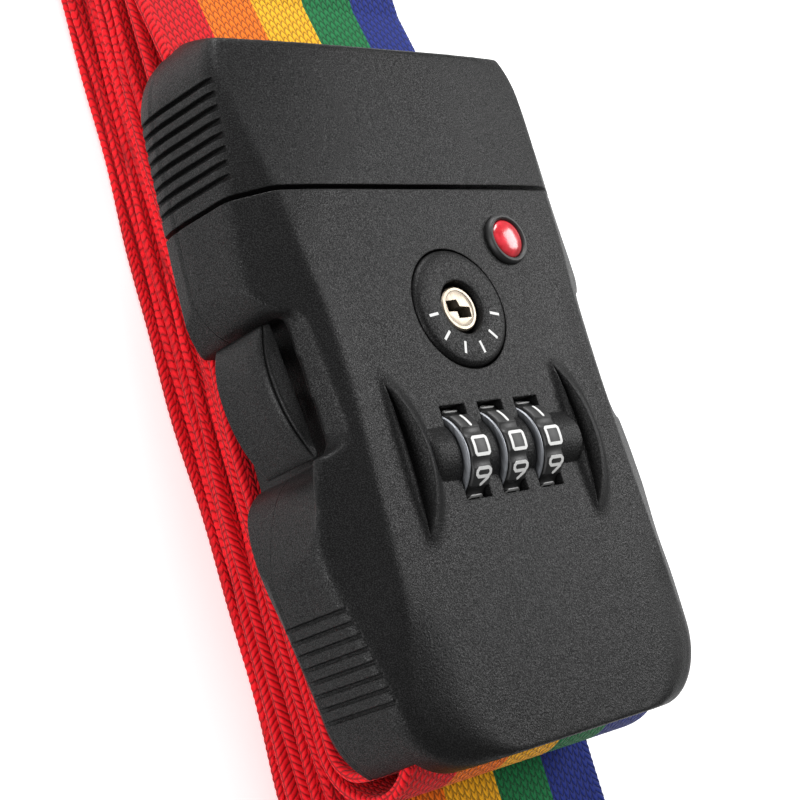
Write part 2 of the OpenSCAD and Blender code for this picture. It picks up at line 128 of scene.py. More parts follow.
def grid_faces(rows, columns, wrap=False):
    """Quads of a grid of rows x columns points; wrap joins the last column to the first."""
    faces = []
    last = columns if wrap else columns - 1
    for i in range(rows - 1):
        for j in range(last):
            k = (j + 1) % columns
            faces.append((i * columns + j, i * columns + k, (i + 1) * columns + k, (i + 1) * columns + j))
    return faces


def tube_solid(name, rings, smooth_angle=35):
    """Closed solid from rings of equal length, capped at both ends."""
    count = len(rings[0])
    points = np.concatenate(rings)
    faces = grid_faces(len(rings), count, wrap=True)
    faces.append(tuple(range(count)))
    faces.append(tuple(range(len(points) - count, len(points)))[::-1])
    return add_mesh(name, points, faces, smooth_angle)


def prism(name, outline, z0, z1, smooth_angle=35):
    """Upright prism over an outline of (x, y) points."""
    low = [(x, y, z0) for x, y in outline]
    high = [(x, y, z1) for x, y in outline]
    return tube_solid(name, [low, high], smooth_angle)


def box(name, x, y, z):
    """Box between two values on each axis."""
    return prism(name, [(x[0], y[0]), (x[1], y[0]), (x[1], y[1]), (x[0], y[1])], z[0], z[1])


def circle_points(cx, cy, r, count=96, start=0.0, end=2 * math.pi, closed=True):
    """Points of a circle, or of an arc with both its ends when closed is False."""
    steps = count if closed else count - 1
    angles = [start + (end - start) * i / steps for i in range(count)]
    return [(cx + r * math.cos(a), cy + r * math.sin(a)) for a in angles]


def rod_x(name, r, x0, x1, y, z, count=96):
    """Round rod across the buckle."""
    ring = circle_points(y, z, r, count)
    return tube_solid(name, [[(x, a, b) for a, b in ring] for x in (x0, x1)])


def lathe(name, profile, centre, axis="z", count=96, smooth_angle=35):
    """Solid of revolution: profile is a closed loop of (radius, height) about an axis through centre."""
    cx, cy, cz = centre
    rings = []
    for i in range(count):
        a = 2 * math.pi * i / count
        if axis == "z":
            rings.append([(cx + r * math.cos(a), cy + r * math.sin(a), cz + h) for r, h in profile])
        else:
            rings.append([(cx + h, cy + r * math.cos(a), cz + r * math.sin(a)) for r, h in profile])
    points = np.concatenate(rings)
    quads = grid_faces(count + 1, len(profile), wrap=True)
    faces = [tuple(i % len(points) for i in quad) for quad in quads]
    return add_mesh(name, points, faces, smooth_angle)


def join(objs):
    """One object from several; the first one is kept."""
    first = objs[0]
    work = bmesh.new()
    for o in objs:
        work.from_mesh(o.data)
    work.to_mesh(first.data)
    work.free()
    for o in objs[1:]:
        bpy.data.objects.remove(o, do_unlink=True)
    return first


def apply_modifiers(obj):
    """Replace the mesh by what its modifiers make of it."""
    bpy.context.view_layer.update()
    evaluated = obj.evaluated_get(bpy.context.evaluated_depsgraph_get())
    result = bpy.data.meshes.new_from_object(evaluated)
    obj.modifiers.clear()
    obj.data = result


def boolean(obj, cutter, operation="DIFFERENCE"):
    """Combine obj with another solid, which is used up."""
    mod = obj.modifiers.new("cut", "BOOLEAN")
    mod.operation = operation
    mod.solver = "EXACT"
    mod.object = cutter
    apply_modifiers(obj)
    bpy.data.objects.remove(cutter, do_unlink=True)


def soften(obj, voxel, rounds):
    """Even out a solid on a fine grid, which rounds its edges as a moulding is rounded."""
    mod = obj.modifiers.new("grid", "REMESH")
    mod.mode = "VOXEL"
    mod.voxel_size = voxel * MM
    if rounds:
        mod = obj.modifiers.new("relax", "SMOOTH")
        mod.factor = 0.5
        mod.iterations = rounds
    apply_modifiers(obj)


def distances(points):
    """Way from the first point to each point of a polyline."""
    return np.concatenate([[0], np.cumsum(np.linalg.norm(np.diff(points, axis=0), axis=1))])


def smooth_curve(knots, y):
    """Value at y of a smooth curve through knots [(y, value), ...]."""
    ys, vs = np.array(knots, float).T
    slopes = np.gradient(vs, ys)
    y = np.clip(y, ys[0], ys[-1])
    i = np.clip(np.searchsorted(ys, y) - 1, 0, len(ys) - 2)
    h = ys[i + 1] - ys[i]
    t = (y - ys[i]) / h
    return (
        (1 + 2 * t) * (1 - t) ** 2 * vs[i]
        + t * (1 - t) ** 2 * h * slopes[i]
        + t * t * (3 - 2 * t) * vs[i + 1]
        + t * t * (t - 1) * h * slopes[i + 1]
    )


def quadratic(a, b, c, steps=10):
    """Points of a quadratic curve from a to c, pulled towards b."""
    a, b, c = (np.asarray(p, float) for p in (a, b, c))
    return [tuple((1 - t) ** 2 * a + 2 * t * (1 - t) * b + t * t * c) for t in np.linspace(0, 1, steps + 1)]


def bend(points, radii, steps=5):
    """Polyline through points, each inner corner rounded by steps + 1 points."""
    out = [points[0]]
    for a, b, c, r in zip(points, points[1:], points[2:], radii):
        a, b, c = (np.asarray(p, float) for p in (a, b, c))
        to_a = (a - b) / max(np.linalg.norm(a - b), 1e-6)
        to_c = (c - b) / max(np.linalg.norm(c - b), 1e-6)
        out += quadratic(b + to_a * r, b, b + to_c * r, steps)
    out.append(points[-1])
    return out


def spread(a, b, count):
    """Even points from a towards b, which is left out."""
    return [(a[0] + (b[0] - a[0]) * i / count, a[1] + (b[1] - a[1]) * i / count) for i in range(count)]


# ---------------- outer form of the buckle

# Half width of the side wall, along the buckle
WALL_X = [(-50.75, 29.4), (-41, 29.9), (-30, 31.5), (-23, 32.4), (-18.6, 32.6), (-8, 32.5), (8, 32.4),
          (14.3, 32.2), (24, 31.6), (36, 30.7), (43, 30.0), (50.75, 29.4)]
# Half width and height of the shoulder, where the chamfer meets the wall
SHOULDER_X = [(-50.75, 28.8), (-41, 29.3), (-34, 30.4), (-28, 31.4), (-20, 32.2), (4, 32.1),
              (14, 31.7), (22, 31.0), (28, 30.3), (39, 29.4), (50.75, 28.8)]
SHOULDER_Z = [(-50.75, 31.3), (-41, 31.2), (-34, 30.4), (-28, 29.4), (-20, 29.1), (4, 29.1),
              (14, 29.4), (22, 29.8), (28, 30.5), (36, 30.9), (50.75, 31.0)]
# Half width and height of the ridge, where the flat face rolls into the chamfer
RIDGE_X = [(-50.75, 26.5), (-42, 26.6), (-37, 26.2), (-31, 25.1), (-22, 24.4), (-12, 23.8), (0, 23.5),
           (8, 23.9), (15, 24.9), (23, 25.7), (29, 26.6), (35, 27.7), (42, 28.3), (50.75, 28.2)]
RIDGE_Z = [(-50.75, 32.6), (-42, 32.7), (-37, 33.0), (-31, 33.8), (-22, 34.0), (15, 34.0),
           (23, 33.65), (29, 33.2), (35, 32.6), (42, 32.1), (50.75, 31.9)]
# Height above the back at which the wall turns under
UNDERCUT_Z = [(-50.75, 5.1), (-41, 5.1), (-30, 4.9), (-22, 4.1), (-14, 3.3), (-8, 3.2), (50.75, 3.2)]
# Half width of the level middle of the face
FLAT_X = [(-50.75, 19.0), (10, 19.0), (19, 19.0), (22, 17.5), (29, 8.5), (38, 8.0), (50.75, 8.0)]
TAIL_CORNER_R = 10.0
HEAD_CORNER_R = 12.0
HEAD_SLOPE_Y = 44.1
HEAD_SLOPE = 2.27
# Points of half a section on the roll beside the ridge, and on the level face
ROLL_STEPS = 12
FACE_STEPS = 30

# The two lens-shaped recesses beside the dials: straight edge, and how far the curved one bows out
LENSES = ((-18.0, 2.9), (14.5, 2.8))
LENS_HALF = 9.9
RIM_RISE = 1.5
RIM_HALF = 11.5
RIM_SPREAD = 2.9


def corner_loss(depth, radius):
    """How far a rounded plan corner pulls the side in, at a given depth from the end."""
    d = np.clip(depth, 0, radius)
    return radius - np.sqrt(np.maximum(radius * radius - (radius - d) ** 2, 0))


def end_loss(y, inset):
    """How far the plan corners pull the side in at y."""
    tail = corner_loss(y + END_Y - inset, TAIL_CORNER_R - inset)
    head = corner_loss(END_Y - inset - y, HEAD_CORNER_R - inset)
    return max(tail, head)


def end_rise(depth, radius):
    """How far the rounded end lifts the back, at a given depth from the end."""
    return radius * (1 - math.sqrt(1 - (1 - min(max(depth / radius, 0), 1)) ** 2))


def head_slope():
    """Cutter over the sloping head end."""
    y0 = HEAD_SLOPE_Y
    y1 = END_Y + 3
    profile = [(y0 - 0.5, FACE_Z + 3), (y0, FACE_Z), (y1, FACE_Z - HEAD_SLOPE * (y1 - y0)), (y1, FACE_Z + 3)]
    return tube_solid("slope", [[(x, y, z) for y, z in profile] for x in (-40, 40)])


def half_section(y, inset, z_low, z_wall_low):
    """Right half of the outer section at y, from the wall's foot to the middle of the face."""
    wall_x = smooth_curve(WALL_X, y) - inset
    shoulder = (smooth_curve(SHOULDER_X, y) - inset, smooth_curve(SHOULDER_Z, y) - inset * 0.4)
    ridge = (smooth_curve(RIDGE_X, y) - inset * 0.7, smooth_curve(RIDGE_Z, y) - inset)
    flat = (min(smooth_curve(FLAT_X, y), ridge[0] - 2), FACE_Z - inset)
    corner = [(wall_x - 0.1, z_low), (wall_x, z_wall_low), shoulder, ridge, flat]
    rounded = bend(corner, [0.4, 1.1, 0.7])
    foot = spread(rounded[0], rounded[1], 4)
    wall = spread(rounded[6], rounded[7], 9)[1:]
    chamfer = spread(rounded[12], rounded[13], 10)[1:]
    section = foot + rounded[1:7] + wall + rounded[7:13] + chamfer + rounded[13:19]
    start = rounded[18]
    roll = FACE_Z - inset - start[1]
    for i in range(1, ROLL_STEPS + 1):
        t = i / ROLL_STEPS
        section.append((start[0] + (flat[0] - start[0]) * t, FACE_Z - inset - roll * (1 - t) ** 2))
    for i in range(1, FACE_STEPS + 1):
        section.append((flat[0] * (1 - i / FACE_STEPS), FACE_Z - inset))
    return section


def lens_radius(sagitta):
    """Radius of a recess's curved edge."""
    return (LENS_HALF ** 2 + sagitta ** 2) / (2 * sagitta)


def swell(x, y):
    """Low raised rims that run round the two lens-shaped recesses."""
    rim = 0.0
    for edge_x, sagitta in LENSES:
        r = lens_radius(sagitta)
        reach = math.hypot(x - (edge_x + sagitta - r), y - DIAL_Y) - r
        if x > edge_x - 0.01 and -4.9 < reach < 3.8:
            end = max(0.0, 1 - (abs(y - DIAL_Y) / RIM_HALF) ** 2) ** 0.8
            slope = 0.5 * (1 + math.cos(math.pi * np.clip(reach / RIM_SPREAD, 0, 1)))
            rim = max(rim, RIM_RISE * end * slope)
    return rim


def station_points(y, inset, z_low, z_wall_low, with_swell):
    """Full section ring points at y, left foot over the face to the right foot."""
    half = half_section(y, inset, z_low, z_wall_low)
    reach = half[0][0]
    loss = end_loss(y, inset)
    right = [(x - loss * min(1.0, x / (reach - 4.0)), z) for x, z in half]
    ring = [(-x, y, z) for x, z in right] + [(x, y, z) for x, z in right[-2::-1]]
    if with_swell:
        ring = [(x, y, z + swell(x, y)) for x, y, z in ring]
    return ring


def stations(y0, y1, step):
    """Stations from y0 to y1, packed closely where the stretch reaches a rounded end of the buckle."""
    fine = [0, 0.02, 0.08, 0.2, 0.4, 0.65, 1.0, 1.4, 1.9, 2.5, 3.2, 4.0, 5.0, 6.0, 7.2, 8.5]
    start = [y0 + d for d in fine] if y0 < -END_Y + 3 else [y0]
    end = [y1 - d for d in reversed(fine)] if y1 > END_Y - 3 else [y1]
    inner = list(np.arange(start[-1] + step, end[0] - step * 0.6, step))
    return start + inner + end


def shell_solid(name, y0, y1, inset=0.0, z_low=PARTING_Z, step=0.6, with_swell=False):
    """Upper shell from the parting line to the face, over a stretch of the buckle."""
    z_wall_low = max(z_low + 1.0, 22.0)
    rings = [station_points(y, inset, z_low, z_wall_low, with_swell) for y in stations(y0, y1, step)]
    return tube_solid(name, rings, 28)


def back_solid(name, y0, y1, inset=0.0, step=1.0):
    """Lower shell: wall from the parting line down, rounded under to the flat back."""
    rings = []
    z_high = PARTING_Z - 0.03
    z_low = BASE_Z + inset
    for y in stations(y0, y1, step):
        x = smooth_curve(WALL_X, y) - inset - end_loss(y, inset)
        rise = max(end_rise(y + END_Y - inset, 1.5), end_rise(END_Y - inset - y, 2.2))
        undercut_z = min(z_low + smooth_curve(UNDERCUT_Z, y) + rise, z_high - 1.3)
        points = bend([(x - 0.1, z_high), (x, z_high - 0.8), (x - 0.5, undercut_z),
                       (x - 4.6, z_low + rise), (0.0, z_low + rise)], [0.2, 0.25, 1.6], 4)
        rings.append([(-a, y, b) for a, b in points] + [(a, y, b) for a, b in points[-2::-1]])
    return tube_solid(name, rings, 28)


# ---------------- cutters for the covers

POCKET_INNER_X = 24.6
POCKET_LEDGE_Z = 29.6
GROOVE_FOOT_Z = 16.5


def pocket_outline(inner_top, inner_low, corner, grow=0.0):
    """Plan of a button pocket: slanted inner wall, round corners, ends that flare out round the hips."""
    top = 8.05 + grow
    low = -10.35 - grow
    upper = quadratic((28.0, top), (32.0, top + 1.4), (33.2, top + 8.5))
    lower = quadratic((33.0, low - 14.6), (30.4, low - 2.85), (inner_low - grow + corner, low))
    x_low = inner_low - grow
    x_top = inner_top - grow
    corner_low = quadratic((x_low + corner, low), (x_low, low), (x_low, low + corner))
    corner_top = quadratic((x_top, top - corner), (x_top, top), (min(x_top + corner, 27.9), top))
    return corner_top + upper + [(45, top + 8.5), (45, low - 14.6)] + lower + corner_low[1:]


def pocket_cutter(side, grow, top=FACE_Z + 6):
    """Room in and round a pocket, from below the back up to a height."""
    outline = [(side * x, y) for x, y in pocket_outline(POCKET_INNER_X, POCKET_INNER_X, 0.6, grow)]
    return prism("pocket", outline, BASE_Z - 3, top)


def pocket_cutters(side):
    """The pocket as seen: flared walls above, and below a ledge the room the button slides into."""
    low = [(side * x, y, POCKET_LEDGE_Z - 0.2) for x, y in pocket_outline(27.2, 26.4, 3.0)]
    high = [(side * x, y, FACE_Z + 2) for x, y in pocket_outline(24.9, 24.3, 3.4)]
    return [pocket_cutter(side, 0.0, POCKET_LEDGE_Z), tube_solid("flare", [low, high])]


def lens_outline(edge_x, sagitta):
    """Plan of a recess's curved edge."""
    r = lens_radius(sagitta)
    cx = edge_x + sagitta - r
    half = math.acos((edge_x - cx) / r)
    return circle_points(cx, DIAL_Y, r, 49, -half, half, closed=False)


def lens_cutters():
    """Recesses with a steep straight side and a long slope that climbs to the crest of the curved rim."""
    out = []
    for edge_x, sagitta in LENSES:
        outline = lens_outline(edge_x, sagitta)
        rings = [[(x, y, FACE_Z + 4) for x, y in outline],
                 [(x, y, FACE_Z + swell(x - 0.01, y)) for x, y in outline]]
        for reach, length, z in ((0.5, 0.92, -1.6), (0.4, 0.88, -2.9), (0.12, 0.82, -2.9)):
            start = edge_x + 0.25 * (1 - reach)
            rings.append([(start + (x - edge_x) * reach, DIAL_Y + (y - DIAL_Y) * length, FACE_Z + z)
                          for x, y in outline])
        out.append(tube_solid("lens", rings))
    return out


def groove_cutter(side, y, width, depth):
    """One grip groove: a slot across the side wall that runs out just over the shoulder."""
    z0 = GROOVE_FOOT_Z
    wall_x = float(smooth_curve(WALL_X, y))
    top = float(smooth_curve(SHOULDER_Z, y)) + 0.7
    top_x = float(smooth_curve(SHOULDER_X, y))
    slope = (wall_x - top_x) / 10
    profile = [(wall_x - depth, z0), (wall_x + 3, z0), (wall_x + 3, top + 1.6),
               (top_x - 0.2, top + 0.8), (top_x - 0.7, top - 0.1), (top_x - depth - slope, top - 1.2)]
    rings = [[(side * x, y + dy, z) for x, z in profile] for dy in (-width / 2, width / 2)]
    return tube_solid("groove", rings)


def window_cutters():
    """The three slots that the dials stand in."""
    half_w = WINDOW_W / 2
    y = (DIAL_Y - WINDOW_LEN / 2, DIAL_Y + WINDOW_LEN / 2)
    z = (FACE_Z - 5, FACE_Z + 4)
    return [box("window", (x - half_w, x + half_w), y, z) for x in (-DIAL_PITCH, 0, DIAL_PITCH)]


def barrel():
    """Raised barrel between the dial windows, with rounded ends."""
    rings = []
    x0, x1 = BARREL_X
    for x, r in ((x0, 4.6), (x0 + 0.1, 5.0), (x0 + 0.3, 5.3), (x0 + 0.7, 5.45), (x0 + 1.2, BARREL_R),
                 (x1 - 1.2, BARREL_R), (x1 - 0.7, 5.45), (x1 - 0.3, 5.3), (x1 - 0.1, 5.0), (x1, 4.6)):
        rings.append([(x, a, b) for a, b in circle_points(DIAL_Y, DIAL_Z, r, 96)])
    solid = tube_solid("barrel", rings)
    boolean(solid, box("keep", (-30, 30), (-40, 20), (FACE_Z - 1.2, FACE_Z + 5)), "INTERSECT")
    return solid


# ---------------- covers

LOCK_END_Y = SPLIT_Y - SPLIT_GAP / 2
MALE_START_Y = SPLIT_Y + SPLIT_GAP / 2
# Grid size, and the rounds of evening out, that give a front cover its moulded edges
COVER_VOXEL = 0.34
COVER_ROUNDS = 10
# Ends of the hollow, beyond which a cover is solid up to its strap opening
LOCK_HOLLOW_Y = -36.2
MALE_HOLLOW_Y = 38.6
STRAP_X = (-25.5, 25.5)
SCREW_RECESS_R = 2.1
# Grip grooves of each half: first place, pitch, width and depth
LOCK_GRIPS = (-40.9, 1.72, 0.55, 0.75)
MALE_GRIPS = (26.35, 1.83, 0.85, 0.95)
GRIP_COUNT = 8


def front_blank(name, y0, y1, with_swell):
    """Rounded blank of a front cover, longer and deeper than the cover by a trim allowance."""
    low = PARTING_Z - 2.5
    solid = shell_solid(name, y0, y1, z_low=low, with_swell=with_swell)
    if y1 > END_Y - 1:
        soften(solid, COVER_VOXEL, 0)
        boolean(solid, head_slope())
    else:
        for cutter in pocket_cutters(-1) + pocket_cutters(1):
            boolean(solid, cutter)
    soften(solid, COVER_VOXEL, COVER_ROUNDS)
    return solid


def trim(solid, y0, y1):
    """Cut off the trim allowance below the parting line and past the ends that are given."""
    boolean(solid, box("under", (-50, 50), (-70, 70), (0, PARTING_Z)))
    if y0 is not None:
        boolean(solid, box("before", (-50, 50), (y0 - 30, y0), (0, 50)))
    if y1 is not None:
        boolean(solid, box("after", (-50, 50), (y1, y1 + 30), (0, 50)))


def grip_cutters(first_y, pitch, width, depth):
    """The grip grooves of one half, on both its sides."""
    return [groove_cutter(side, first_y + i * pitch, width, depth)
            for side in (-1, 1) for i in range(GRIP_COUNT)]


def lock_front():
    """Front cover of the lock half, with its barrel, windows, key seat, recesses and grips."""
    solid = front_blank("cover_lock_front", -END_Y, LOCK_END_Y + 3, True)
    trim(solid, None, LOCK_END_Y)
    inside = shell_solid("inside", LOCK_HOLLOW_Y, LOCK_END_Y - WALL, WALL, PARTING_Z - 3, 1.5)
    for side in (-1, 1):
        boolean(inside, pocket_cutter(side, 1.5))
    boolean(inside, box("backing", (-19.5, 20.5), (DIAL_Y - 11.5, DIAL_Y + 11.5), (FACE_Z - 3.4, FACE_Z)))
    boolean(solid, inside)
    boolean(solid, barrel(), "UNION")
    cutters = window_cutters()
    cutters.append(prism("disc_hole", circle_points(0, KEY_Y, DISC_R + 0.28, 128), FACE_Z - 2.0, FACE_Z + 3))
    cutters.append(box("strap", STRAP_X, (-60, -36.5), (10, FACE_Z - 5.8)))
    for side in (-1, 1):
        cutters.append(box("slot", sorted((side * 9.5, side * 15.0)), (15, 30), (22.7, 26.9)))
        cutters.append(box("arm", sorted((side * 21.5, side * 26.6)), (3.2, 7.0), (20.3, 22.9)))
    boolean(solid, join(cutters + lens_cutters()))
    boolean(solid, prism("housing_hole", circle_points(0, KEY_Y, 5.6, 96), FACE_Z - 8, FACE_Z - 1.9))
    boolean(solid, join(grip_cutters(*LOCK_GRIPS)))
    shade(solid, 32)
    return solid


def male_front():
    """Front cover of the tongue half, with openings for the tongue and the strap."""
    solid = front_blank("cover_male_front", MALE_START_Y - 3, END_Y, False)
    trim(solid, MALE_START_Y, None)
    boolean(solid, shell_solid("inside", MALE_START_Y + WALL, MALE_HOLLOW_Y, WALL, PARTING_Z - 3, 1.5))
    cutters = [box("tongue", (-17.2, 17.2), (20, 27), (23.0, 26.6)),
               box("strap", STRAP_X, (39, 60), (10, 21.8))]
    boolean(solid, join(cutters + grip_cutters(*MALE_GRIPS)))
    shade(solid, 32)
    return solid


def back_cover(name, y0, y1, inside_y, strap_y, screws, grips):
    """Back cover: a shallow tray with a strap notch at its outer end and screw recesses."""
    solid = back_solid(name, y0, y1)
    inside = back_solid("inside", inside_y[0], inside_y[1], WALL)
    inside.data.transform(Matrix.Translation((0, 0, 0.5 * MM)))
    if y0 < 0:
        for side in (-1, 1):
            boolean(inside, pocket_cutter(side, 1.5))
            boolean(solid, pocket_cutter(side, 0.0))
    boolean(solid, inside)
    cutters = [box("strap", STRAP_X, strap_y, (10, 40))]
    cutters += [prism("screw", circle_points(x, y, SCREW_RECESS_R, 48), 10, BASE_Z + 1.5) for x, y in screws]
    boolean(solid, join(cutters + grip_cutters(*grips)))
    shade(solid, 28)
    return solid


def lock_back():
    screws = [(side * 20.5, y) for side in (-1, 1) for y in (17, -30)]
    inside_y = (LOCK_HOLLOW_Y, LOCK_END_Y - WALL)
    return back_cover("cover_lock_back", -END_Y, LOCK_END_Y, inside_y, (-60, -36.5), screws, LOCK_GRIPS)


def male_back():
    screws = [(side * 21.5, 33) for side in (-1, 1)]
    inside_y = (MALE_START_Y + WALL, MALE_HOLLOW_Y)
    return back_cover("cover_male_back", MALE_START_Y, END_Y, inside_y, (39, 60), screws, MALE_GRIPS)


# ---------------- release buttons

BUTTON_TOP_Y = 7.55
BUTTON_TIP_Y = -9.9
SPRING_Y = -2.0
SPRING_Z = 24.0
SPRING_R = 1.7
SPRING_X = (24.7, 29.5)
SPRING_TURNS = 4
TURN_STEPS = 28
WIRE_R = 0.22


def button_reach(y):
    """How far out the button's face stands at y: a bow that falls away faster towards its lower tip."""
    d = y - 1.6
    return 31.45 - (0.043 * d * d if d > 0 else 0.0225 * d * d + 0.0000545 * d ** 4)


def button(name, side):
    """Side button: smooth convex outer face, a fine step, and a grained top facet."""
    ys = np.concatenate([[7.55, 7.5, 7.35, 7.1], np.linspace(6.6, -9.2, 34), [-9.5, -9.7, -9.85, -9.9]])
    rings = []
    for y in ys:
        edge = max(0.0, 0.35 - min(BUTTON_TOP_Y - y, y - BUTTON_TIP_Y)) ** 2 * 1.6
        inner = 27.25 + 1.65 * (y - BUTTON_TIP_Y) / (BUTTON_TOP_Y - BUTTON_TIP_Y)
        out = max(button_reach(y) - edge, inner + 0.25)
        width = out - inner
        profile = [(0.0, 19.3), (0.12, 22.5), (0.0, 25.0), (0.05, 27.6), (0.22, 28.25), (0.5, 28.55),
                   (0.62, 28.3), (0.74, 28.3), (0.84, 28.75), (1.1, 28.95)]
        fit = 1 - math.exp(-width / 1.2)
        ring = [(side * (out - o * fit), y, z - edge) for o, z in profile]
        ring.append((side * (inner + 0.15 * fit), y, 29.25 - edge))
        ring += [(side * inner, y, z) for z in (29.0 - edge, 19.3)]
        rings.append(ring)
    cap = tube_solid(name, rings, 30)
    arm = box("arm", sorted((side * 8.55, side * 29.2)), (3.6, 6.6), (21.0, 22.5))
    hook = box("hook", sorted((side * 8.55, side * 9.65)), (3.6, 6.6), (21.6, 26.4))
    boolean(arm, hook, "UNION")
    boolean(cap, arm, "UNION")
    bore_x = sorted((side * 26.0, side * 29.7))
    boolean(cap, rod_x("spring_bore", SPRING_R + 0.3, *bore_x, SPRING_Y, SPRING_Z))
    shade(cap, 30)
    return cap


def coil(name, side):
    """Return spring of one button: round wire wound about an axis across the buckle."""
    coil_r = SPRING_R - 0.05 - WIRE_R
    steps = SPRING_TURNS * TURN_STEPS
    x0, x1 = SPRING_X[0] + WIRE_R + 0.02, SPRING_X[1] - WIRE_R - 0.02
    rings = []
    for i in range(steps + 1):
        turn = 2 * math.pi * i / TURN_STEPS
        x = x0 + (x1 - x0) * i / steps
        ring = []
        for a in np.linspace(0, 2 * math.pi, 10, endpoint=False):
            r = coil_r + WIRE_R * math.cos(a)
            wire_x = side * (x + WIRE_R * math.sin(a))
            ring.append((wire_x, SPRING_Y + r * math.cos(turn), SPRING_Z + r * math.sin(turn)))
        rings.append(ring)
    return tube_solid(name, rings, 60)


# ---------------- dials

DIGIT_W = 1.24
DIGIT_H = 1.15
DIGIT_STROKE = 0.44
DIGIT_X = 0.62
AXLE_BORE_R = 1.56


def digit_paths(n):
    """Strokes of one digit, as polylines in a box of half width 1 and half height 1."""
    c = 0.17
    box_loop = [(-1 + c, 1), (1 - c, 1), (1, 1 - c), (1, -1 + c), (1 - c, -1), (-1 + c, -1), (-1, -1 + c),
                (-1, 1 - c), (-1 + c, 1)]
    small_top = [(-0.7, 1), (0.7, 1), (1, 0.72), (1, 0.35), (0.72, 0.05), (-0.72, 0.05), (-1, 0.35),
                 (-1, 0.72), (-0.7, 1)]
    small_low = [(x, -y) for x, y in small_top]
    paths = {
        0: [box_loop],
        1: [[(0, 1), (0, -1)]],
        2: [[(-1, 0.6), (-0.7, 1), (0.7, 1), (1, 0.65), (1, 0.3), (-1, -1), (1, -1)]],
        3: [[(-1, 1), (1, 1), (0, 0.2), (0.7, 0.15), (1, -0.2), (1, -0.65), (0.6, -1), (-0.7, -1),
             (-1, -0.7)]],
        4: [[(0.5, -1), (0.5, 1), (-1, -0.4), (1, -0.4)]],
        5: [[(1, 1), (-0.85, 1), (-0.95, 0.15), (0.6, 0.15), (1, -0.2), (1, -0.65), (0.6, -1), (-1, -1)]],
        6: [[(0.3, 1), (-0.85, 0)], small_low],
        7: [[(-1, 1), (1, 1), (-0.3, -1)]],
        8: [small_top, small_low],
        9: [[(-0.3, -1), (0.85, 0)], small_top],
    }
    return paths[n]


def stroke(points, width):
    """Flat ribbon along a polyline with round ends, as rings of left and right points."""
    fine = []
    for a, b in zip(points, points[1:]):
        fine += spread(a, b, max(2, int(math.hypot(b[0] - a[0], b[1] - a[1]) / 0.18)))
    fine.append(points[-1])
    closed = math.hypot(fine[0][0] - fine[-1][0], fine[0][1] - fine[-1][1]) < 1e-6
    out = []
    for i, p in enumerate(fine):
        before = fine[i - 1] if i else (fine[-2] if closed else p)
        after = fine[i + 1] if i < len(fine) - 1 else (fine[1] if closed else p)
        d = np.array([after[0] - before[0], after[1] - before[1]], float)
        d /= max(np.linalg.norm(d), 1e-6)
        w = width / 2
        if not closed and i in (0, len(fine) - 1):
            w *= 0.55
        out.append(((p[0] - d[1] * w, p[1] + d[0] * w), (p[0] + d[1] * w, p[1] - d[0] * w)))
    return out


def wrap_digit(n, x_mid, angle, radius):
    """Digit n laid on the rim at an angle from the top, its head towards +Y."""
    points, faces = [], []
    for path in digit_paths(n):
        scaled = [(px * DIGIT_W, py * DIGIT_H) for px, py in path]
        base = len(points)
        pairs = stroke(scaled, DIGIT_STROKE)
        for left, right in pairs:
            for lift in (-0.12, 0.035):
                for u, v in (left, right):
                    a = angle + v / radius
                    r = radius + lift
                    points.append((x_mid + u, DIAL_Y + r * math.sin(a), DIAL_Z + r * math.cos(a)))
        for i in range(len(pairs) - 1):
            a, b = base + 4 * i, base + 4 * (i + 1)
            faces += [(a + 2, b + 2, b + 3, a + 3), (b, b + 2, a + 2, a), (a + 3, b + 3, b + 1, a + 1),
                      (a + 1, b + 1, b, a)]
        end = base + 4 * (len(pairs) - 1)
        faces += [(base, base + 1, base + 3, base + 2), (end, end + 2, end + 3, end + 1)]
    return points, faces


def dial_rim(name, x):
    """Digit ring whose rim dips in a soft scallop between neighbouring digits."""
    count = 360
    across = ((-1.3, 0.35), (-1.22, 0.12), (-1.05, 0.0), (0.45, 0.0), (1.95, 0.0), (2.12, 0.12), (2.2, 0.35))
    rings = []
    for dx, drop in across:
        ring = []
        for i in range(count):
            a = 2 * math.pi * i / count
            phase = math.cos(10 * a)
            dip = 0.34 * max(0.0, (-phase - 0.35) / 0.65) ** 0.7
            r = DIAL_R - drop - dip
            ring.append((x + dx, DIAL_Y + r * math.sin(a), DIAL_Z + r * math.cos(a)))
        rings.append(ring)
    solid = tube_solid(name, rings, 40)
    boolean(solid, rod_x("bore", AXLE_BORE_R, x - 4, x + 4, DIAL_Y, DIAL_Z))
    return solid


def dial_digits(name, x):
    """The ten printed digits of one dial."""
    points, faces = [], []
    for n in range(10):
        more, quads = wrap_digit(n, x + DIGIT_X, 2 * math.pi * n / 10, DIAL_R)
        faces += [tuple(i + len(points) for i in q) for q in quads]
        points += more
    return add_mesh(name, points, faces, 30)


def dial_plate(name, x):
    """Bright side plate with a dished outer face."""
    bore = AXLE_BORE_R
    profile = [(bore, -1.55), (6.0, -1.55), (6.2, -1.65), (6.22, -1.8), (6.1, -1.95), (5.6, -2.05),
               (5.2, -1.95), (3.2, -1.95), (3.0, -2.1), (bore, -2.1)]
    return lathe(name, profile, (x, DIAL_Y, DIAL_Z), "x", 128)


# ---------------- key lock and badge

KEY_PLATE_RISE = 0.55
MARK_COUNT = 6
MARK_R = (5.0, 6.7)
MARK_HALF_W = 0.19


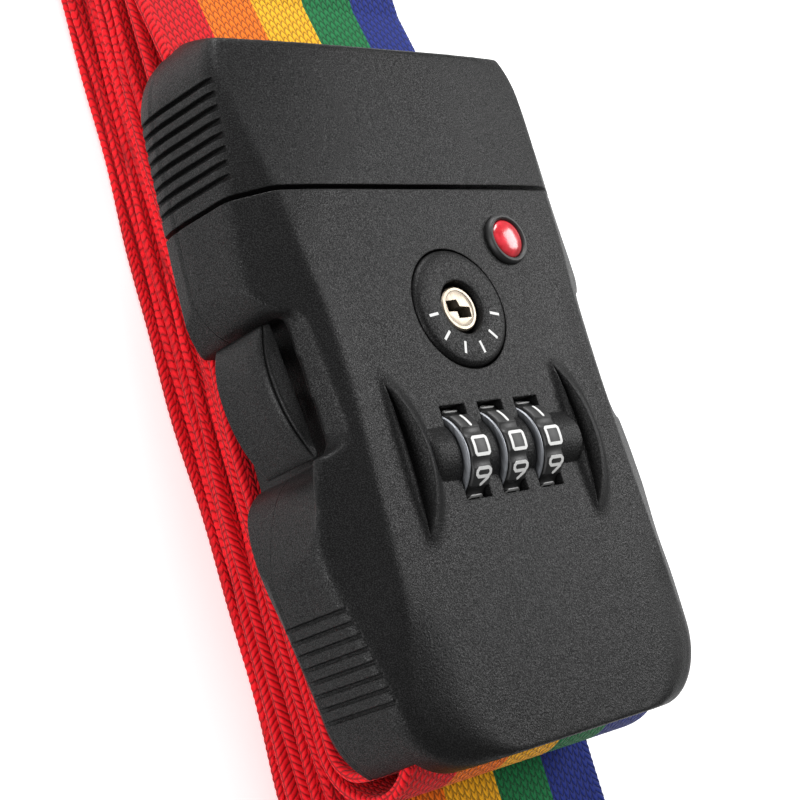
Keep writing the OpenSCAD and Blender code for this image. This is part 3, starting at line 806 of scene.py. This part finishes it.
def key_plate():
    """Round plate set into the face, with a rounded rim and a hole for the plug."""
    r = DISC_R
    top = KEY_PLATE_RISE
    profile = [(3.7, -2.0), (r - 0.1, -2.0), (r, -1.9), (r, top - 0.75), (r - 0.1, top - 0.42),
               (r - 0.35, top - 0.16), (r - 0.75, top), (3.95, top), (3.8, top - 0.06), (3.7, top - 0.25)]
    return lathe("key_plate", profile, (0, KEY_Y, FACE_Z), "z", 160)


def key_plug():
    """Turning plug with a stepped keyway."""
    profile = [(PLUG_R, -12.2), (PLUG_R, -0.2), (PLUG_R - 0.2, 0.0), (2.55, 0.02), (2.4, -0.06)]
    rings = [[(x, y, FACE_Z + h) for x, y in circle_points(0, KEY_Y, r)] for r, h in profile]
    solid = tube_solid("plug", rings, 30)
    keyway = [(-2.2, 1.15), (-0.1, 1.3), (0.2, 0.35), (2.0, 0.15), (1.9, -1.3), (-0.55, -1.35),
              (-0.6, -0.4), (-2.2, -0.35)]
    outline = [(x, KEY_Y + y) for x, y in keyway]
    boolean(solid, prism("keyway", outline, FACE_Z - 7, FACE_Z + 1))
    shade(solid, 30)
    return solid


def key_marks():
    """Plain white bars round the lower part of the key plate."""
    points, faces = [], []
    r0, r1 = MARK_R
    w = MARK_HALF_W
    for k in range(MARK_COUNT):
        a = math.radians(188 + k * 32)
        base = len(points)
        for h in (KEY_PLATE_RISE - 0.12, KEY_PLATE_RISE + 0.03):
            for r, s in ((r0, -w), (r1, -w), (r1, w), (r0, w)):
                x = r * math.cos(a) - s * math.sin(a)
                y = r * math.sin(a) + s * math.cos(a)
                points.append((x, KEY_Y + y, FACE_Z + h))
        faces += [tuple(base + i for i in q) for q in
                  ((3, 2, 1, 0), (4, 5, 6, 7), (0, 1, 5, 4), (1, 2, 6, 5), (2, 3, 7, 6), (3, 0, 4, 7))]
    return add_mesh("key_marks", points, faces)


def badge_ring():
    """Rounded bezel of the badge."""
    r = BADGE_R
    profile = [(r - 1.0, 0.0), (r - 0.05, 0.0), (r, 0.25), (r - 0.1, 0.62), (r - 0.32, 0.84),
               (r - 0.6, 0.88), (r - 0.78, 0.75), (r - 0.9, 0.4)]
    return lathe("badge_ring", profile, (BADGE_X, BADGE_Y, FACE_Z), "z", 96)


def badge_stone():
    """Plain domed red stone."""
    r = BADGE_R - 0.9
    rings = []
    for t in np.linspace(0, 0.98 * math.pi / 2, 12):
        z = FACE_Z + 0.3 + 0.95 * math.sin(t)
        rings.append([(x, y, z) for x, y in circle_points(BADGE_X, BADGE_Y, r * math.cos(t))])
    return tube_solid("badge_stone", rings, 40)


# ---------------- webbing

RUNS = 7
TOP_RUN_Z = WEB_T / 2 + (RUNS - 1) * WEB_PITCH
TAIL_RUN_Z = TOP_RUN_Z + WEB_PITCH + 0.1
LOOP_R = 1.6 + 0.1 + WEB_T / 2
LOCK_BAR = (-40.5, FACE_Z - 9.3)
MALE_BAR = (43.0, BASE_Z + 4.1)
LOOP_TURN_Y = -43.4
HANK_HALF = 133.0
# Millimetres of strap to one unit of the weave's UV
UV_SCALE = 100.0


def run_height(i):
    """Middle height of layer i of the folded stack."""
    return WEB_T / 2 + i * WEB_PITCH


def arc(cy, cz, r, start, end, steps):
    """Points of an arc in the side plane; angles in degrees from +Y towards +Z."""
    return circle_points(cy, cz, r, steps + 1, math.radians(start), math.radians(end), closed=False)


def webbing_route():
    """Middle line of the whole strap in the side plane, from the sewn tail at one end to the other."""
    outer_z = LOCK_BAR[1] + LOOP_R
    outer_r = (outer_z - TOP_RUN_Z) / 2
    inner_z = LOCK_BAR[1] - LOOP_R
    inner_r = (inner_z - TAIL_RUN_Z) / 2
    male_run_z = MALE_BAR[1] - LOOP_R
    turn_r = (male_run_z - run_height(0)) / 2
    fold_y = HANK_HALF - WEB_PITCH / 2 - WEB_T / 2
    outer_fold_y = HANK_HALF - turn_r - WEB_T / 2
    inner_fold_y = outer_fold_y - 2
    route = [(LOOP_TURN_Y + 26, TAIL_RUN_Z)]
    route += arc(LOOP_TURN_Y, TAIL_RUN_Z + inner_r, inner_r, 270, 90, 24)
    route += arc(LOCK_BAR[0], LOCK_BAR[1], LOOP_R, -90, 90, 20)
    route += arc(LOOP_TURN_Y, TOP_RUN_Z + outer_r, outer_r, 90, 270, 36)
    for i in range(RUNS - 1, 0, -1):
        middle = run_height(i) - WEB_PITCH / 2
        if (RUNS - 1 - i) % 2 == 0:
            route += arc(inner_fold_y, middle, WEB_PITCH / 2, 90, -90, 14)
        else:
            route += arc(-fold_y, middle, WEB_PITCH / 2, 90, 270, 14)
    route += arc(outer_fold_y, run_height(0) + turn_r, turn_r, -90, 90, 36)
    route += arc(MALE_BAR[0], MALE_BAR[1], LOOP_R, 270, 90, 20)
    route += [(MALE_BAR[0] + 16, male_run_z + WEB_PITCH), (MALE_BAR[0] + 32, male_run_z + WEB_PITCH)]
    return route


def even_steps(route, step):
    """The route resampled at even steps, with arc length."""
    points = np.array(route, float)
    keep = np.concatenate([[True], np.linalg.norm(np.diff(points, axis=0), axis=1) > 1e-6])
    points = points[keep]
    way = distances(points)
    s = np.linspace(0, way[-1], int(way[-1] / step))
    return np.stack([np.interp(s, way, points[:, 0]), np.interp(s, way, points[:, 1])], 1), s


def web_section():
    """Closed cross section of the webbing, as (across, up): a bead at each edge and a level middle."""
    half = WEB_W / 2
    t = WEB_T / 2
    bead = t * 0.97
    left = [(-half + bead + bead * math.cos(math.radians(a)), bead * math.sin(math.radians(a)))
            for a in (230, 210, 190, 170, 150, 130)]
    across = [-24.0, -23.1, -15, -5, 5, 15, 23.1, 24.0]
    top = [(x, t * (0.9 if abs(x) > 23.5 else 0.98)) for x in across]
    right = [(-x, z) for x, z in reversed(left)]
    under = [(x, -z) for x, z in reversed(top)]
    return left + top + right + under


def edge_places():
    """Girth at the middle of the left edge, and half the girth, which is the way to the right edge."""
    section = web_section()
    around = distances(section + [section[0]])
    return float(around[2] + around[3]) / 2, float(around[-1]) / 2


def side_sway(s, y):
    """How far each stretch of the folded strap lies to one side: the hank leans a little, and wanders."""
    lean = 0.0165 * np.maximum(y + 45, 0)
    sway = lean + 0.62 * np.sin(s / 31.0) + 0.34 * np.sin(s / 11.3 + 1.0) + 0.14 * np.sin(s / 4.1)
    held = 60
    return sway * np.clip((s - held) / held, 0, 1) * np.clip((s[-1] - held - s) / held, 0, 1)


def ribbon(name, route, s, sway, normal):
    """A stretch of the strap: its woven section swept along the route, with length and girth as UVs."""
    section = web_section()
    n = len(section)
    rows = len(route)
    xs, ts = np.array(section).T
    around = distances(section + [section[0]])
    scallop = 0.06 * np.sin(2 * math.pi * s)
    edge = np.where(np.abs(xs) > 24.2, np.sign(xs), 0)
    co = np.zeros((rows, n, 3))
    co[:, :, 0] = xs[None, :] + sway[:, None] + edge[None, :] * scallop[:, None]
    co[:, :, 1] = route[:, 0, None] + normal[:, 0, None] * ts[None, :]
    co[:, :, 2] = np.maximum(route[:, 1, None] + normal[:, 1, None] * ts[None, :], 0.02)
    faces = grid_faces(rows, n, wrap=True)
    faces.append(tuple(range(n)))
    faces.append(tuple(range((rows - 1) * n, rows * n))[::-1])
    obj = add_mesh(name, co.reshape(-1, 3), faces, 60)
    corner = np.zeros(len(obj.data.loops), dtype=np.int32)
    obj.data.loops.foreach_get("vertex_index", corner)
    row = corner // n
    column = corner % n
    face_of = np.repeat(np.arange(len(obj.data.polygons)), [p.loop_total for p in obj.data.polygons])
    widest = np.zeros(len(obj.data.polygons), dtype=np.int32)
    np.maximum.at(widest, face_of, column)
    girth = np.where((column == 0) & (widest[face_of] == n - 1), around[n], around[column])
    layer = obj.data.uv_layers.new(name="weave")
    uv = np.stack([s[row] / UV_SCALE, girth / UV_SCALE], 1)
    layer.data.foreach_set("uv", uv.astype(np.float32).ravel())
    return obj


def webbing():
    """The strap in two pieces that meet where the lowest layer turns up: the folds, and the running end."""
    route, s = even_steps(webbing_route(), 0.5)
    tangent = np.gradient(route, axis=0)
    tangent /= np.linalg.norm(tangent, axis=1)[:, None]
    normal = np.stack([-tangent[:, 1], tangent[:, 0]], 1)
    sway = side_sway(s, route[:, 0])
    low = np.flatnonzero((route[:, 1] < run_height(0) + 0.01) & (route[:, 0] > 118))
    cut = int(low[0])
    hank = ribbon("webbing_folds", route[:cut + 1], s[:cut + 1], sway[:cut + 1], normal[:cut + 1])
    run = ribbon("webbing_run", route[cut:], s[cut:], sway[cut:], normal[cut:])
    return hank, float(s[cut]), run, float(s[-1] - s[cut])


# ---------------- materials

class Nodes:
    """Small helper to write a node tree as an expression."""

    def __init__(self, name):
        self.material = bpy.data.materials.new(name)
        self.material.use_nodes = True
        self.tree = self.material.node_tree
        self.shader = self.tree.nodes["Principled BSDF"]

    def add(self, kind, inputs=(), **settings):
        node = self.tree.nodes.new(kind)
        for key, value in settings.items():
            setattr(node, key, value)
        for key, value in dict(inputs).items():
            self.put(node.inputs[key], value)
        return node

    def put(self, socket, value):
        """Link a socket to an output, or set its value."""
        if isinstance(value, bpy.types.NodeSocket):
            self.tree.links.new(value, socket)
        else:
            socket.default_value = value

    def math(self, operation, a, b=0.0, c=0.0):
        return self.add("ShaderNodeMath", {0: a, 1: b, 2: c}, operation=operation).outputs[0]

    def place(self):
        """Place on the piece, in metres."""
        return self.add("ShaderNodeTexCoord").outputs["Object"]

    def noise(self, scale, detail=2.0, roughness=0.5, vector=None):
        inputs = {"Scale": scale, "Detail": detail, "Roughness": roughness, "Vector": vector or self.place()}
        return self.add("ShaderNodeTexNoise", inputs).outputs["Fac"]

    def ramp(self, value, stops, interpolation="LINEAR"):
        node = self.add("ShaderNodeValToRGB", {"Fac": value})
        node.color_ramp.interpolation = interpolation
        elements = node.color_ramp.elements
        while len(elements) < len(stops):
            elements.new(0.5)
        for element, (position, colour) in zip(elements, stops):
            element.position = position
            element.color = (*colour, 1)
        return node.outputs["Color"]

    def grey(self, value, low, high, a=0.0, b=1.0):
        """Map value from a..b to low..high."""
        inputs = {"Value": value, "From Min": a, "From Max": b, "To Min": low, "To Max": high}
        return self.add("ShaderNodeMapRange", inputs).outputs["Result"]

    def bump(self, height, distance, strength=1.0, normal=None):
        inputs = {"Height": height, "Distance": distance, "Strength": strength}
        if normal is not None:
            inputs["Normal"] = normal
        return self.add("ShaderNodeBump", inputs).outputs["Normal"]

    def finish(self, **sockets):
        """Set the shader's sockets, named with _ for a space, and hand the material over."""
        for key, value in sockets.items():
            self.put(self.shader.inputs[key.replace("_", " ")], value)
        return self.material


def grained_plastic(name, tone, roughness, grain, depth):
    """Moulded black plastic with a spark-eroded grain: pale points over a dark ground."""
    n = Nodes(name)
    fine = n.noise(grain, 2.0, 0.6)
    points = n.grey(n.noise(grain * 2.2, 1.0, 0.5), 0.0, 1.0, 0.42, 0.78)
    cloud = n.noise(60, 3.0)
    ground = n.grey(cloud, tone * 0.8, tone * 0.95)
    level = n.math("ADD", ground, n.math("MULTIPLY", points, tone * 0.7))
    colour = n.ramp(level, [(0.0, (0.0, 0.0, 0.0)), (1.0, (1.0, 1.0, 1.02))])
    edge = n.add("ShaderNodeBevel", {"Radius": 0.0003}, samples=4).outputs["Normal"]
    return n.finish(Base_Color=colour, Roughness=n.grey(points, roughness + 0.03, roughness - 0.06),
                    Specular_IOR_Level=n.grey(points, 0.08, 0.42), Normal=n.bump(fine, depth, 1.0, edge))


def smooth_plastic(name, tone, roughness):
    """Satin moulded plastic with faint flow marks."""
    n = Nodes(name)
    cloud = n.noise(180, 3.0)
    marks = n.noise(1500, 2.0)
    level = n.grey(cloud, tone * 0.9, tone * 1.12)
    colour = n.ramp(level, [(0.0, (0.0, 0.0, 0.0)), (1.0, (1.0, 1.0, 1.0))])
    edge = n.add("ShaderNodeBevel", {"Radius": 0.0002}, samples=4).outputs["Normal"]
    return n.finish(Base_Color=colour, Roughness=n.grey(cloud, roughness - 0.06, roughness + 0.06, 0.3, 0.7),
                    Normal=n.bump(marks, 0.000012, 1.0, edge))


def metal(name, colour, roughness):
    """Plated or turned metal with fine streaks along the buckle."""
    n = Nodes(name)
    streak = (900.0, 60.0, 900.0)
    stretch = n.add("ShaderNodeVectorMath", {0: n.place(), 1: streak}, operation="MULTIPLY").outputs[0]
    lines = n.noise(3.0, 3.0, 0.6, stretch)
    low = tuple(c * 0.86 for c in colour)
    tint = n.ramp(lines, [(0.3, low), (0.7, colour)])
    gloss = n.grey(lines, roughness * 0.8, roughness * 1.25, 0.3, 0.7)
    return n.finish(Base_Color=tint, Metallic=1.0, Roughness=gloss, Normal=n.bump(lines, 0.00001))


def paint(name, colour, roughness):
    """Thick ink with a slightly uneven film."""
    n = Nodes(name)
    film = n.noise(2500, 2.0)
    low = tuple(c * 0.9 for c in colour)
    return n.finish(Base_Color=n.ramp(film, [(0.3, low), (0.7, colour)]), Roughness=roughness,
                    Normal=n.bump(film, 0.00001))


def red_stone():
    """Clear-coated red stone, its red varying in soft swirls."""
    n = Nodes("red_stone")
    swirl = n.noise(700, 2.0)
    tint = n.ramp(swirl, [(0.3, (0.42, 0.006, 0.012)), (0.72, (0.72, 0.03, 0.05))])
    return n.finish(Base_Color=tint, Roughness=0.22, Coat_Weight=0.5, Coat_Roughness=0.12,
                    Normal=n.bump(swirl, 0.000008))


def woven(name):
    """Striped webbing: twill ribs across the flat, chain stitches along both edges."""
    edge_middle, edge_span = edge_places()
    n = Nodes(name)
    uv = n.add("ShaderNodeUVMap", uv_map="weave").outputs["UV"]
    split = n.add("ShaderNodeSeparateXYZ", {"Vector": uv})
    along = n.math("MULTIPLY", split.outputs["X"], UV_SCALE)
    across = n.add("ShaderNodeSeparateXYZ", {"Vector": n.place()}).outputs["X"]
    across = n.math("MULTIPLY", across, 1 / MM)
    reach = n.math("ABSOLUTE", across)
    wobble = n.math("MULTIPLY", n.noise(900, 2.0), 0.35)
    along = n.math("ADD", along, wobble)

    rib = n.math("MULTIPLY", across, 1 / 1.1)
    rib_part = n.math("FRACT", rib)
    rib_odd = n.math("MULTIPLY", n.math("MODULO", n.math("ABSOLUTE", n.math("FLOOR", rib)), 2.0), 0.5)
    lean = n.math("MULTIPLY", n.math("ABSOLUTE", n.math("SUBTRACT", rib_part, 0.5)), 1.1)
    strand = n.math("FRACT", n.math("ADD", n.math("ADD", n.math("MULTIPLY", along, 1 / 1.25), rib_odd), lean))
    strand_round = n.math("SINE", n.math("MULTIPLY", strand, math.pi))
    rib_round = n.math("SINE", n.math("MULTIPLY", rib_part, math.pi))
    flat_height = n.math("MULTIPLY", n.math("POWER", strand_round, 0.6), n.math("POWER", rib_round, 0.5))

    girth = n.math("MULTIPLY", split.outputs["Y"], UV_SCALE)
    bead = n.math("PINGPONG", n.math("SUBTRACT", girth, edge_middle), edge_span)
    slant = n.math("MULTIPLY", bead, 0.75)
    chain = n.math("FRACT", n.math("SUBTRACT", along, slant))
    chain_round = n.math("POWER", n.math("SINE", n.math("MULTIPLY", chain, math.pi)), 0.7)
    groove = n.grey(bead, 0.0, 1.0, 0.0, 0.22)
    chain_height = n.math("MULTIPLY", chain_round, groove)

    on_edge = n.grey(reach, 0.0, 1.0, 24.0, 24.25)
    heights = {0: on_edge, 2: flat_height, 3: chain_height}
    height = n.add("ShaderNodeMix", heights, data_type="FLOAT").outputs[0]
    fibres = n.noise(9000, 2.0, 0.7)
    full = n.math("ADD", height, n.math("MULTIPLY", fibres, 0.18))

    stripe = n.grey(across, 0.0, 1.0, -25.0, 25.0)
    red, orange, amber = (0.62, 0.002, 0.008), (0.80, 0.16, 0.004), (0.86, 0.42, 0.010)
    green, blue = (0.004, 0.16, 0.045), (0.008, 0.022, 0.20)
    colour = n.ramp(stripe, [(0.0, red), (0.2, orange), (0.4, amber), (0.6, green), (0.8, blue)], "CONSTANT")
    # Painted shade: the stripe colour is darkened where the weave height is low, in the grooves between
    # strands and stitches.
    depth = n.grey(height, 0.25, 1.0, 0.0, 0.75)
    painted_groove_shade = n.ramp(depth, [(0.0, (0.0, 0.0, 0.0)), (1.0, (1.0, 1.0, 1.0))])
    tones = {0: 1.0, 6: colour, 7: painted_groove_shade}
    tint = n.add("ShaderNodeMix", tones, data_type="RGBA", blend_type="MULTIPLY").outputs[2]
    return n.finish(Base_Color=tint, Roughness=0.72, Specular_IOR_Level=0.2, Sheen_Weight=0.06,
                    Sheen_Roughness=0.4, Normal=n.bump(full, 0.00022, 0.9))


def floor_material():
    """Pale ground that glows a little, as the photograph's blank white one does."""
    n = Nodes("floor")
    tone = n.ramp(n.noise(3.0), [(0.3, (0.86, 0.86, 0.86)), (0.7, (0.88, 0.88, 0.88))])
    white = (1.0, 1.0, 1.0, 1.0)
    return n.finish(Base_Color=tone, Roughness=0.6, Emission_Color=white, Emission_Strength=0.45)


def give(obj, material):
    """Make material the object's only one."""
    obj.data.materials.clear()
    obj.data.materials.append(material)


# ---------------- stage

def make_stage():
    """Floor, even surround light and three soft lamps."""
    bpy.ops.mesh.primitive_plane_add(size=6, location=(0, 0, -0.0002))
    floor = bpy.context.object
    floor.name = "floor"
    give(floor, floor_material())
    world = bpy.data.worlds.new("world")
    world.use_nodes = True
    surround = world.node_tree.nodes["Background"].inputs
    surround["Color"].default_value = (1.0, 1.0, 1.0, 1)
    surround["Strength"].default_value = 0.3
    bpy.context.scene.world = world
    bpy.context.scene.view_settings.view_transform = "Standard"
    add_light("back", (0.0, 1.0, 0.5), 0.6, 15.0)
    add_light("right", (0.66, 0.16, 0.6), 0.45, 5.6)
    add_light("side", (-0.95, -0.1, 0.3), 0.6, 9.0)


def add_light(name, place, size, power):
    """Square lamp that faces the strap."""
    data = bpy.data.lights.new(name, "AREA")
    data.shape = "SQUARE"
    data.size = size
    data.energy = power
    light = bpy.data.objects.new(name, data)
    bpy.context.scene.collection.objects.link(light)
    light.location = place
    aim = Vector((0, 0, 0.02)) - Vector(place)
    light.rotation_euler = aim.to_track_quat("-Z", "Y").to_euler()


# ---------------- assembly

make_camera()

folds, folds_length, run, run_length = webbing()
weave = woven("woven_webbing")
for piece, length in ((folds, folds_length), (run, run_length)):
    give(piece, weave)
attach(folds, "lock_half")
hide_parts("webbing_hank", "webbing_lock_loop")
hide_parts("webbing_male_run")
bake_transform(run)

cover_skin = grained_plastic("cover_grain", 0.0045, 0.47, 3400, 0.00007)
button_skin = grained_plastic("button_grain", 0.0045, 0.4, 3600, 0.00002)
dark_skin = smooth_plastic("dark_satin", 0.007, 0.5)
steel = metal("zinc_steel", (0.60, 0.61, 0.63), 0.32)
nickel = metal("satin_nickel", (0.36, 0.31, 0.25), 0.42)
bright = metal("bright_plate", (0.27, 0.28, 0.30), 0.5)
brass = metal("turned_brass", (0.62, 0.47, 0.2), 0.3)
white_ink = paint("white_ink", (0.66, 0.66, 0.65), 0.5)

for piece, body, node in (
    (lock_front(), "lock_half", "lock_front_cover"),
    (lock_back(), "lock_half", "lock_back_cover"),
    (male_front(), "tongue_half", "male_front_cover"),
    (male_back(), "tongue_half", "male_back_cover"),
):
    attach(piece, body)
    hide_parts(node)
    give(piece, cover_skin)

for side, word in ((-1, "left"), (1, "right")):
    piece = button("side_button_" + word, side)
    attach(piece, "button_" + word)
    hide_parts("release_button_" + word)
    give(piece, button_skin)
    spring = coil("button_coil_" + word, side)
    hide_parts("button_spring_" + word)
    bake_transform(spring)
    give(spring, steel)

for number, x in enumerate((-DIAL_PITCH, 0.0, DIAL_PITCH), 1):
    body = ("dial_left", "dial_middle", "dial_right")[number - 1]
    rim = dial_rim(f"dial_rim_{number}", x)
    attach(rim, body)
    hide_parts(f"dial_{number}")
    give(rim, dark_skin)
    digits = dial_digits(f"dial_digits_{number}", x)
    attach(digits, body)
    give(digits, white_ink)
    plate = dial_plate(f"dial_plate_{number}", x)
    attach(plate, body)
    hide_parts(f"dial_disc_{number}")
    give(plate, bright)

for piece, body, node, material, slot in (
    (key_plate(), "lock_half", "key_disc", cover_skin, "cover"),
    (key_plug(), "key", "key_plug", nickel, "bright_metal"),
    (badge_ring(), "lock_half", "badge_bezel", dark_skin, "dial"),
    (badge_stone(), "lock_half", "badge_gem", red_stone(), "red_inlay"),
):
    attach(piece, body)
    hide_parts(node)
    give(piece, material)

bar = rod_x("male_bar", 1.6, -27.0, 27.0, MALE_BAR[0], MALE_BAR[1])
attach(bar, "tongue_half")
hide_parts("male_strap_bar")
give(bar, steel)

marks = key_marks()
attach(marks, "lock_half")
give(marks, white_ink)

NODE_MATERIALS = {
    "lock_strap_bar": steel, "lock_screws": steel, "male_screws": steel,
    "dial_axle": steel, "detent_spring": steel, "lock_plate": steel, "key_housing": dark_skin,
    "clutch_sleeve_1": brass, "clutch_sleeve_2": brass, "clutch_sleeve_3": brass, "key_cam": brass,
    "male_tongue": dark_skin,
}
for node, material in NODE_MATERIALS.items():
    give(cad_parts[node], material)

make_stage()
